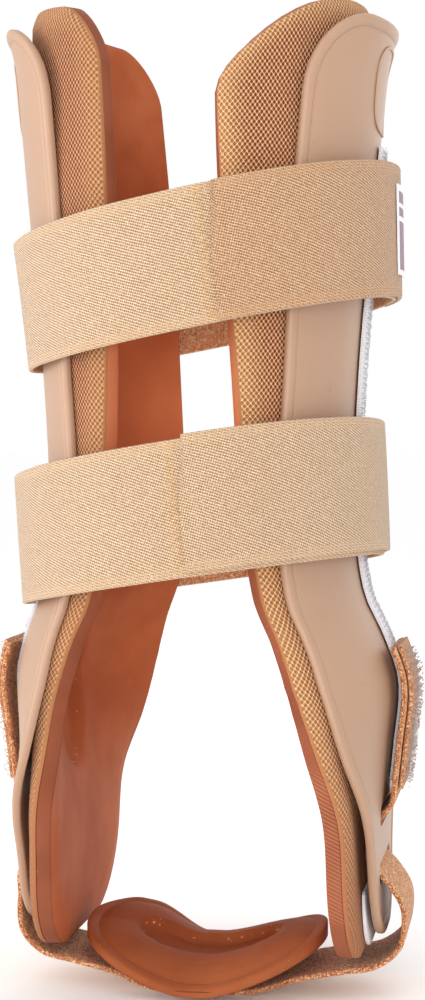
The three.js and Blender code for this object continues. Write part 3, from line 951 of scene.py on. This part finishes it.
def makeGel(name, sizes):
    side = sides[name]
    wall = sizes["gelEdge"]
    gel = flatBlank(f"gel_pad_{name}_slab", padOutline(side, sizes), wall)
    shapeSlab(gel, wall, sizes["gelRings"], sizes["gelLowRings"], sizes["gelStep"])
    split(gel, 1)
    addRim(gel, lambda x, y, z: wallGlint(recessAt(sizes, x, y)) if z > wall else 0)

    def place(x, y, z):
        if z > wall:
            z -= sizes["recessDepth"] * recessAt(sizes, x, y)
        elif z < sizes["gelBack"]:
            z += edgeDrop(side, sizes, x, y)
        start = padDepth(y) + sizes["cover"] + braceForm["clearance"]
        return sidePoint(side, crowned(sizes, x, y), x, start + z)

    dress(gel, "gel")
    gel.data.materials.append(finishes["gelEdge"])
    for face in gel.data.polygons:
        face.material_index = 1 if face.center.z < wall + sizes["gelBand"] else 0
    wrap(gel, place)
    bodied(gel, "gel", f"gel_pad_{name}")
    return gel


for name in sides:
    makeCover(name, padSizes)
    makeGel(name, padSizes)
print("pads are laid in the shells")


# Hook tapes and patches

tapeSizes = {
    "half": 11 * mm,
    "corner": 0.8 * mm,
    "thickness": 0.9 * mm,
    "edgeRings": ((0.25, 0.2),),
    "tapeStep": (3 * mm, 4 * mm),
    "patchStep": (3 * mm, 3 * mm),
    "low": 44.5 * mm,
    "high": 228 * mm,
    "bendLow": 98 * mm,  # the tape shifts sideways from here
    "bendHigh": 146 * mm,
    "hookPitch": (1.4 * mm, 1.45 * mm),
    "hookMargin": (1.4 * mm, 1 * mm),
    "hookSink": 0.1 * mm,
    "hookHeight": 1.05 * mm,
    "hookTube": 0.11 * mm,
    "patchHalf": 22 * mm,
    "patchCorner": 11 * mm,
    "patchTopCorner": 2 * mm,
    "patchLow": -2 * mm,
    "patchHigh": 15.3 * mm,
}


def stripOutline(half, low, high, corner):
    outline = []
    for cx, cy, start in ((1, 0, -90), (1, 1, 0), (-1, 1, 90), (-1, 0, 180)):
        for i in range(4):
            angle = math.radians(start + 30 * i)
            x = cx * (half - corner) + corner * math.cos(angle)
            y = (high - corner if cy else low + corner) + corner * math.sin(angle)
            outline.append((x, y))
    return outline


# Run and climb of each length of a hook, as shares of its height
hookBends = ((0, 0.62), (0.30, 0.26), (0.36, -0.02), (0.16, -0.28))


def hookShape(height, tube):
    # One bent hook, standing on the origin
    deselect()
    bpy.ops.mesh.primitive_circle_add(vertices=5, radius=tube)
    hook = bpy.context.object
    edit(hook)
    bpy.ops.mesh.select_all(action="SELECT")
    for run, climb in hookBends:
        bpy.ops.mesh.extrude_edges_move(
            TRANSFORM_OT_translate={"value": (0, run * height, climb * height)})
    bpy.ops.mesh.select_all(action="SELECT")
    bpy.ops.mesh.normals_make_consistent(inside=False)
    bpy.ops.object.mode_set(mode="OBJECT")
    return hook


def hookField(name, spots, height, tube, finish, seed):
    # spots are (point, outward, up) for each hook. One mesh holds all of them.
    rng = random.Random(seed)
    pattern = hookShape(height, tube)
    points = [vertex.co.copy() for vertex in pattern.data.vertices]
    faces = [list(face.vertices) for face in pattern.data.polygons]
    bpy.data.objects.remove(pattern)
    allPoints = []
    allFaces = []
    for point, outward, up in spots:
        turn = rng.uniform(-0.5, 0.5) + (math.pi if rng.random() < 0.5 else 0)
        aside = outward.cross(up).normalized()
        fore = (up * math.cos(turn) + aside * math.sin(turn)).normalized()
        cross = fore.cross(outward)
        size = rng.uniform(0.75, 1.15)
        start = len(allPoints)
        for co in points:
            lean = rng.uniform(-0.02, 0.02) * height
            allPoints.append(point + (cross * (co.x + lean) + fore * co.y + outward * co.z) * size)
        allFaces += [[start + index for index in face] for face in faces]
    mesh = bpy.data.meshes.new(name)
    mesh.from_pydata(allPoints, [], allFaces)
    field = bpy.data.objects.new(name, mesh)
    bpy.context.scene.collection.objects.link(field)
    choose(field)
    bpy.ops.object.shade_smooth()
    dress(field, finish)
    return field


def tapeShift(side, height, sizes):
    risen = smooth(sizes["bendLow"], sizes["bendHigh"], height)
    return side["lowTape"] + (side["highTape"] - side["lowTape"]) * risen


def tapeSpots(side, sizes, depth):
    # Staggered rows of hooks, up the tape
    half = sizes["half"] - sizes["hookMargin"][0]
    low = sizes["low"] + sizes["hookMargin"][1]
    high = sizes["high"] - sizes["hookMargin"][1]
    wide, tall = sizes["hookPitch"]
    spots = []
    for row in range(int((high - low) / tall) + 1):
        for column in range(int(2 * half / wide) + 1):
            arc = -half + wide * (column + (0.5 if row % 2 else 0))
            if arc > half:
                continue
            height = low + tall * row
            arc += tapeShift(side, height, sizes)
            point = sidePoint(side, height, arc, depth)
            outward = (sidePoint(side, height, arc, depth - 1 * mm) - point).normalized()
            up = (sidePoint(side, height + 1 * mm, arc, depth) - point).normalized()
            spots.append((point, outward, up))
    return spots


def backingWall(sizes):
    return sizes["thickness"] - sum(rise for width, rise in sizes["edgeRings"]) * mm


def makeTape(name, sizes):
    side = sides[name]
    wall = backingWall(sizes)
    outline = stripOutline(sizes["half"], sizes["low"], sizes["high"], sizes["corner"])
    tape = flatBlank(f"hook_tape_{name}_backing", outline, wall)
    shapeSlab(tape, wall, sizes["edgeRings"], (), sizes["tapeStep"])
    base = braceForm["clearance"]
    wrap(tape, lambda x, y, z: sidePoint(side, y, x + tapeShift(side, y, sizes), -base - z))
    dress(tape, "tape")
    bodied(tape, "hook", f"hook_tape_{name}")
    spots = tapeSpots(side, sizes, -base - sizes["thickness"] + sizes["hookSink"])
    hooks = hookField(
        f"tape_hooks_{name}", spots, sizes["hookHeight"], sizes["hookTube"], "whiteHook", 3)
    bodied(hooks, "hook")


def makePatch(name, sizes):
    side = sides[name]
    wall = backingWall(sizes)
    outline = roundedOutline(
        lambda height, end: sizes["patchHalf"], sizes["patchLow"], sizes["patchHigh"],
        sizes["patchCorner"], sizes["patchTopCorner"], sizes["patchTopCorner"])
    patch = flatBlank(f"hook_patch_{name}_backing", outline, wall)
    shapeSlab(patch, wall, sizes["edgeRings"], (), sizes["patchStep"])
    wrap(patch, lambda x, y, z: sidePoint(side, y, x, padDepth(y) - braceForm["clearance"] - z))
    dress(patch, "tape")
    bodied(patch, "hook", f"hook_patch_{name}")


for name in sides:
    makeTape(name, tapeSizes)
    makePatch(name, tapeSizes)
print("hook tapes are glued on")


# Elastic straps

strapSizes = {
    "width": 38 * mm,
    "thickness": 1.5 * mm,
    "roundness": 2.15,
    "tape": 1.6 * mm,  # hook tape and the gaps on both sides of it
    "step": 2.5 * mm,
    "endBack": 28,  # degrees
    "endSlant": 0.11,  # how far an end's edge leans, as a share of the width
    "longRipple": 7.3,  # mm
    "shortRipple": 3.9,
    "rippleSlant": 9,
}

# height is a share of shellHeight, tilt and pitch are degrees, depth a share of radius. right and
# left are the slack over each shell. endFront is where the second layer starts.
strapForms = {
    "upper": {
        "height": 0.735, "tilt": 11, "pitch": -1, "endFront": 11.8 * mm,
        "top": {"depth": 0.96, "right": 1.2 * mm, "left": 1.6 * mm},
        "bottom": {"depth": 0.95, "right": 5.6 * mm, "left": 0.3 * mm},
    },
    "lower": {
        "height": 0.4625, "tilt": 8.5, "pitch": 4, "endFront": 3 * mm,
        "top": {"depth": 0.90, "right": 3.0 * mm, "left": 7.2 * mm},
        "bottom": {"depth": 0.97, "right": 4.2 * mm, "left": 0.2 * mm},
    },
}


def strapPoint(form, edge, turn, offset):
    name = "right" if math.cos(turn) >= 0 else "left"
    side = sides[name]
    rise = math.tan(math.radians(form["tilt"]))
    lift = math.tan(math.radians(form["pitch"]))
    half = strapSizes["width"] / 2
    middle = braceForm["shellHeight"] * form["height"] + (half if edge == "top" else -half)
    room = strapSizes["tape"] + form[edge][name] + offset
    reach = reachAt(side, middle + side["sign"] * braceForm["reach"] * rise) + room
    depth = braceForm["radius"] * form[edge]["depth"] + offset
    power = 2 / strapSizes["roundness"]
    x = side["sign"] * reach * abs(math.cos(turn)) ** power
    y = math.copysign(depth * abs(math.sin(turn)) ** power, math.sin(turn))
    return braceMiddle + Vector((x, y, braceForm["lift"] + middle + x * rise - y * lift))


def spanAt(lengths, length):
    # The step of a run that a length falls in, and the share of that step
    length = min(max(length, 0), lengths[-1])
    low = min(bisect.bisect_right(lengths, length) - 1, len(lengths) - 2)
    span = lengths[low + 1] - lengths[low]
    return low, (length - lengths[low]) / span if span else 0


class StrapRun:
    # Length along a strap's middle line, and the turn at each length

    def __init__(self, form, start, end, offset):
        self.form = form
        self.offset = offset
        self.turns = [start + (end - start) * i / 720 for i in range(721)]
        self.lengths = [0]
        last = None
        for turn in self.turns:
            here = self.at(turn, 0.5, offset)
            if last is not None:
                self.lengths.append(self.lengths[-1] + (here - last).length)
            last = here

    def at(self, turn, share, offset):
        low = strapPoint(self.form, "bottom", turn, offset)
        return low.lerp(strapPoint(self.form, "top", turn, offset), share)

    def turn(self, length):
        low, share = spanAt(self.lengths, length)
        return self.turns[low] + (self.turns[low + 1] - self.turns[low]) * share

    def point(self, length, across, rise):
        share = 0.5 + across / strapSizes["width"]
        return self.at(self.turn(length), share, self.offset + rise)


def flatStrap(name, length, width, thickness, step, closed=False, rows=10):
    # A flat strap with rounded selvedges, from x = 0 to its length
    deselect()
    bpy.ops.mesh.primitive_cube_add(size=1)
    strap = bpy.context.object
    strap.name = name
    strap.data.name = name
    for vertex in strap.data.vertices:
        x, y, z = vertex.co
        vertex.co = ((x + 0.5) * length, y * width, (z + 0.5) * thickness)
    edit(strap)
    selectEdges(strap, lambda a, b: abs(a.x - b.x) > length / 2)
    bpy.ops.mesh.bevel(offset=thickness * 0.42, segments=3)
    bpy.ops.mesh.select_mode(type="FACE")
    if closed:
        selectFaces(strap, lambda centre, normal: abs(normal.x) > 0.9)
        bpy.ops.mesh.delete(type="FACE")
    cutAcross(spaced(0, length, step), 0)
    cutAcross(spaced(-width / 2, width / 2, width / rows), 1)
    bpy.ops.object.mode_set(mode="OBJECT")
    return strap


def ripple(length, across, seed):
    # Small slack waves, stronger along the selvedges
    edge = (abs(across) / (strapSizes["width"] / 2)) ** 2
    slant = across / mm / strapSizes["rippleSlant"]
    waves = math.sin(length / mm / strapSizes["longRipple"] + seed)
    waves += 0.6 * math.sin(length / mm / strapSizes["shortRipple"] + 2 * seed + slant)
    return waves * (0.05 + 0.16 * edge) * mm


def paintInside(strap):
    # The inner face carries the loop pile
    for face in strap.data.polygons:
        away = Vector((face.center.x - braceMiddle.x, face.center.y - braceMiddle.y, 0))
        if face.normal.dot(away.normalized()) < -0.45:
            face.material_index = 1


def makeLoop(name, form, seed):
    run = StrapRun(form, 0, 2 * math.pi, 0)
    length = run.lengths[-1]
    strap = flatStrap(
        f"{name}_webbing", length, strapSizes["width"], strapSizes["thickness"],
        strapSizes["step"], closed=True)

    def place(x, y, z):
        if x >= length - 1e-7:
            x = 0  # both ends meet
        fade = min(1, 6 * min(x, length - x) / length)
        return run.point(x, y, z + fade * ripple(x, y, seed))

    wrap(strap, place)
    dress(strap, "elastic")
    strap.data.materials.append(finishes["strapInside"])
    paintInside(strap)
    return bodied(strap, "elastic", name)


def makeEnd(name, form, start, end, offset, shift, finish):
    run = StrapRun(form, start, end, offset)
    length = run.lengths[-1]
    strap = flatStrap(
        f"{name}_webbing", length, strapSizes["width"], strapSizes["thickness"], strapSizes["step"])

    def place(x, y, z):
        x -= strapSizes["endSlant"] * y * (1 - smooth(0, 0.2, x / length))
        return run.point(x, y, z + ripple(x, y, 5) * 0.6) + Vector((0, 0, shift))

    wrap(strap, place)
    dress(strap, finish)
    bodied(strap, "elastic", name)
    return run


def frontTurn(form, distance=None):
    # The turn at the front where the strap is at a distance to the right of the middle
    distance = form["endFront"] if distance is None else distance
    share = distance / (braceForm["reach"] + form["top"]["right"])
    return -math.acos(math.copysign(abs(share) ** (strapSizes["roundness"] / 2), share))


layer = strapSizes["thickness"] + braceForm["clearance"]
endTurn = math.radians(strapSizes["endBack"])
makeLoop("upper_strap", strapForms["upper"], 1)
makeLoop("lower_strap", strapForms["lower"], 4)
upper = strapForms["upper"]
lower = strapForms["lower"]
makeEnd("upper_strap_end", upper, frontTurn(upper), endTurn, layer, 0, "elasticEnd")
makeEnd("lower_strap_end", lower, frontTurn(lower), endTurn, layer, 1 * mm, "elastic")

seamSizes = {
    "from": 3.6 * mm,  # from the second layer's edge
    "to": 0.6 * mm,
    "pitch": 1.1 * mm,
    "thread": 0.2 * mm,
    "margin": 0.6 * mm,
    "clear": 0.05 * mm,
}


def makeSeam(name, form, sizes):
    # Zigzag stitching through the loop, beside the edge of the second layer
    half = strapSizes["width"] / 2 - sizes["margin"]
    count = int(2 * half / sizes["pitch"])
    line = []
    for i in range(count + 1):
        across = -half + 2 * half * i / count
        edge = form["endFront"] - strapSizes["endSlant"] * across
        aside = edge - (sizes["from"] if i % 2 else sizes["to"])
        height = strapSizes["thickness"] + sizes["clear"]
        share = 0.5 + across / strapSizes["width"]
        turn = frontTurn(form, aside)
        low = strapPoint(form, "bottom", turn, height)
        line.append(low.lerp(strapPoint(form, "top", turn, height), share))
    return makeThread(name, line, sizes["thread"])


def makeThread(name, line, radius):
    data = bpy.data.curves.new(name, "CURVE")
    data.dimensions = "3D"
    spline = data.splines.new("POLY")
    spline.points.add(len(line) - 1)
    for point, place in zip(spline.points, line):
        point.co = (*place, 1)
    data.bevel_depth = radius
    data.bevel_resolution = 1
    data.use_fill_caps = True
    thread = bpy.data.objects.new(name, data)
    bpy.context.scene.collection.objects.link(thread)
    choose(thread)
    bpy.ops.object.convert(target="MESH")
    bpy.ops.object.shade_smooth()
    dress(thread, "thread")
    return bodied(thread, "elastic")


makeSeam("upper_seam", upper, seamSizes)
makeSeam("lower_seam", lower, seamSizes)
print("straps are closed")


# Label

labelSizes = {
    "height": 26 * mm,
    "width": 15 * mm,
    "thickness": 0.3 * mm,
    "turn": -1,  # degrees round the strap from its right middle
}


def makeLabel(sizes):
    form = strapForms["upper"]
    half = sizes["width"] / 2 / braceForm["reach"]
    middle = math.radians(sizes["turn"])
    run = StrapRun(form, middle - half, middle + half, 2 * layer)
    length = run.lengths[-1]
    label = flatStrap("strap_label_tape", length, sizes["height"], sizes["thickness"], 2 * mm, rows=6)
    for vertex in label.data.vertices:
        vertex.co.x -= length / 2
    wrap(label, lambda x, y, z: run.point(x + length / 2, y, z))
    dress(label, "label")
    bodied(label, "label", "strap_label")


makeLabel(labelSizes)
print("label is sewn on")


# Heel strap, its tabs and the heel pad

heelSizes = {
    "width": 30 * mm,
    "thickness": 1.6 * mm,
    "slotRoom": 0.6 * mm,  # between the strap and the shell, outside each slot
    "tapeRoom": 1.0 * mm,  # for the hook tape, under the strap's end
    "aboveSlot": 2 * mm,
    "tabTop": 84 * mm,
    "tabWidth": 25 * mm,
    "tabThickness": 1.3 * mm,
    "floorHalf": 12 * mm,
    "hookPitch": 2.1 * mm,
    "hookHeight": 2.1 * mm,
    "hookTube": 0.13 * mm,
    "hookSink": 0.1 * mm,
    "hookMargin": 0.8 * mm,
}

# shares of a side's loopReach and of the shells' lift
heelLoop = (
    (0.32, 0.07), (0.47, 0.25), (0.70, 0.41), (0.86, 0.52), (0.97, 0.82), (0.995, 1.12), (0.99, 1.50))


def heelStrapLine(side, sizes):
    # From under the heel pad, in through the lower slot, out through the upper one and up
    half = sizes["thickness"] / 2
    clear = braceForm["clearance"]
    outside = half + 2 * clear + sizes["slotRoom"]
    inside = braceForm["wall"] + half + 3 * clear
    standoff = 2 * clear + sizes["tapeRoom"] + half
    lift = braceForm["lift"]
    slot = shellSizes["slotHeight"]
    low, high = shellSizes["slots"]

    def at(height, depth):
        return (reachAt(side, height) - depth, lift + height)

    line = [(0, half), (sizes["floorHalf"] / 2, half), (sizes["floorHalf"], half)]
    line += [(out * side["loopReach"], half + up * lift) for out, up in heelLoop]
    line += [at(low - 0.42 * slot, -outside), at(low + 0.55 * slot, inside)]
    line += [at((low + high) / 2, inside), at(high - 0.55 * slot, inside)]
    line += [at(high + 0.42 * slot, -outside)]
    start = high + slot + sizes["aboveSlot"]
    line += [at(start + (sizes["tabTop"] - start) * i / 8, -standoff) for i in range(9)]
    return [Vector((side["sign"] * x, 0, z)) + Vector((braceMiddle.x, 0, 0)) for x, z in line]


def smoothLine(points, steps):
    # Centripetal spline through the points, its first and last point kept
    made = []
    ends = [points[0] * 2 - points[1], *points, points[-1] * 2 - points[-2]]
    for i in range(1, len(ends) - 2):
        p0, p1, p2, p3 = ends[i - 1:i + 3]
        t1 = (p1 - p0).length ** 0.5
        t2 = t1 + (p2 - p1).length ** 0.5
        t3 = t2 + (p3 - p2).length ** 0.5
        for step in range(steps):
            t = t1 + (t2 - t1) * step / steps
            a1 = p0.lerp(p1, t / t1)
            a2 = p1.lerp(p2, (t - t1) / (t2 - t1))
            a3 = p2.lerp(p3, (t - t2) / (t3 - t2))
            b1 = a1.lerp(a2, t / t2)
            b2 = a2.lerp(a3, (t - t1) / (t3 - t1))
            made.append(b1.lerp(b2, (t - t1) / (t2 - t1)))
    return made + [points[-1]]


class LineRun:
    # Lengths, points and normals of a line in the XZ plane

    def __init__(self, line):
        self.line = line
        self.lengths = [0]
        for a, b in zip(line, line[1:]):
            self.lengths.append(self.lengths[-1] + (b - a).length)
        self.normals = []
        for i in range(len(line)):
            along = line[min(i + 1, len(line) - 1)] - line[max(i - 1, 0)]
            self.normals.append(Vector((along.z, 0, -along.x)).normalized())

    def point(self, length, across, rise):
        low, share = spanAt(self.lengths, length)
        here = self.line[low].lerp(self.line[low + 1], share)
        out = self.normals[low].lerp(self.normals[low + 1], share).normalized()
        return here + out * rise + Vector((0, braceMiddle.y + across, 0))


def makeHeelStrap(sizes):
    right = smoothLine(heelStrapLine(sides["right"], sizes), 6)
    left = smoothLine(heelStrapLine(sides["left"], sizes), 6)
    run = LineRun(left[::-1] + right[1:])
    length = run.lengths[-1]
    half = sizes["thickness"] / 2
    strap = flatStrap(
        "heel_strap_webbing", length, sizes["width"], sizes["thickness"], 1.5 * mm, rows=8)
    dress(strap, "pile")
    strap.data.materials.append(finishes["pileTan"])
    for face in strap.data.polygons:
        face.material_index = 1 if face.normal.z > 0.5 else 0
    wrap(strap, lambda x, y, z: run.point(x, y, z - half))
    bodied(strap, "loop", "heel_strap")


def tabSpots(run, sizes, top, outward):
    # Staggered rows of hooks, up the tab
    pitch = sizes["hookPitch"]
    columns = int(sizes["tabWidth"] / pitch) - 1
    spots = []
    for row in range(1, int(run.lengths[-1] / pitch)):
        for column in range(columns + 1):
            across = (column - columns / 2 + (0.5 if row % 2 else 0)) * pitch
            if abs(across) > sizes["tabWidth"] / 2 - sizes["hookMargin"]:
                continue
            length = row * pitch
            point = run.point(length, across, outward * top)
            away = (run.point(length, across, outward * (top + 1 * mm)) - point).normalized()
            up = (run.point(length + 1 * mm, across, outward * top) - point).normalized()
            spots.append((point, away, up))
    return spots


def makeTab(name, sizes):
    # The line runs upwards, so its normals point to +X on both sides
    side = sides[name]
    outward = side["sign"]
    slotTop = shellSizes["slots"][1] + shellSizes["slotHeight"]
    start = braceForm["lift"] + slotTop + sizes["aboveSlot"] / 2
    run = LineRun([p for p in smoothLine(heelStrapLine(side, sizes), 6) if p.z > start])
    base = sizes["thickness"] / 2 + braceForm["clearance"]
    tab = flatStrap(
        f"heel_tab_{name}_strip", run.lengths[-1], sizes["tabWidth"], sizes["tabThickness"],
        2 * mm, rows=6)
    wrap(tab, lambda x, y, z: run.point(x, y, outward * (base + z)))
    dress(tab, "pileDark")
    bodied(tab, "tab", f"heel_tab_{name}")
    spots = tabSpots(run, sizes, base + sizes["tabThickness"] - sizes["hookSink"], outward)
    hooks = hookField(
        f"tab_hooks_{name}", spots, sizes["hookHeight"], sizes["hookTube"], "darkHook", 7)
    bodied(hooks, "tab")


makeHeelStrap(heelSizes)
for name in sides:
    makeTab(name, heelSizes)
print("heel strap is threaded")

heelPadSizes = {
    "length": 72 * mm,
    "depth": 50 * mm,
    "roundness": (0.78, 0.86),  # 1 would make the outline an ellipse
    "edge": 3.6 * mm,
    "edgeRings": ((0.25, 0.45), (0.45, 0.40), (0.8, 0.30), (1.4, 0.25), (0.5, -0.10), (0.6, 0.40)),
    "domeRings": ((2.0, 1.20), (3.0, 1.20), (3.0, 0.75), (3.0, 0.35)),
    "lowRings": ((0.3, 0.25), (0.6, 0.25)),
    "step": (3 * mm, 3 * mm),
    "flat": 3 * mm,
    "rise": 12.5 * mm,  # how much higher each end lies than the middle
    "riseCurve": 1.4,
    "tilt": 2.2 * mm,
    "hump": 5.5 * mm,  # the left lobe stands up at the rear
    "humpGrows": (3 * mm, 20 * mm),  # to the left of the middle
    "humpFades": (24 * mm, 36 * mm),
    "recessPlace": (0.5 * mm, 1 * mm),
    "recessHalf": (22 * mm, 8.5 * mm),
    "recessRoundness": 2.6,
    "recessFloor": 0.86,
    "recessDepth": 3.0 * mm,
}


def heelPadOutline(sizes, count=96):
    wide, deep = sizes["roundness"]
    outline = []
    for i in range(count):
        angle = 2 * math.pi * i / count
        x = math.copysign(abs(math.cos(angle)) ** wide, math.cos(angle)) * sizes["length"] / 2
        y = math.copysign(abs(math.sin(angle)) ** deep, math.sin(angle)) * sizes["depth"] / 2
        outline.append((x, y))
    return outline


def heelRecessAt(sizes, x, y):
    # 0 outside the pad's recess, 1 on its floor
    power = sizes["recessRoundness"]
    aside = abs(x - sizes["recessPlace"][0]) / sizes["recessHalf"][0]
    fore = abs(y - sizes["recessPlace"][1]) / sizes["recessHalf"][1]
    return 1 - smooth(sizes["recessFloor"], 1, (aside ** power + fore ** power) ** (1 / power))


def heelPadLift(sizes, x, y, upper):
    half = sizes["length"] / 2
    risen = max(0, abs(x) - sizes["flat"]) / (half - sizes["flat"])
    lift = sizes["rise"] * risen ** sizes["riseCurve"]
    if upper:
        aback = y / (sizes["depth"] / 2)
        lobe = smooth(*sizes["humpGrows"], -x) * (1 - 0.6 * smooth(*sizes["humpFades"], -x))
        lift += sizes["tilt"] * aback + sizes["hump"] * max(0, aback) * lobe
    return lift


def makeHeelPad(sizes):
    wall = sizes["edge"]
    pad = flatBlank("heel_pad_gel", heelPadOutline(sizes), wall)
    shapeSlab(pad, wall, sizes["edgeRings"] + sizes["domeRings"], sizes["lowRings"], sizes["step"])
    split(pad, 1)
    addRim(pad, lambda x, y, z: wallGlint(heelRecessAt(sizes, x, y)) if z > wall else 0)
    base = heelSizes["thickness"] + braceForm["clearance"]

    def place(x, y, z):
        lift = heelPadLift(sizes, x, y, z > wall / 2)
        if z > wall:
            z -= sizes["recessDepth"] * heelRecessAt(sizes, x, y)
        if z < wall:
            lift = max(lift, 0)  # nothing sinks into the strap
        return braceMiddle + Vector((x, y, base + lift + z))

    wrap(pad, place)
    dress(pad, "heelGel")
    bodied(pad, "gel", "heel_pad")


makeHeelPad(heelPadSizes)
print("heel pad is laid")


# Floor

floorSizes = {"across": 40, "cells": 8}


def makeFloor(sizes):
    deselect()
    bpy.ops.mesh.primitive_grid_add(
        x_subdivisions=sizes["cells"], y_subdivisions=sizes["cells"], size=sizes["across"])
    floor = bpy.context.object
    floor.name = "floor"
    dress(floor, "floor")


makeFloor(floorSizes)
deselect()

print("done")
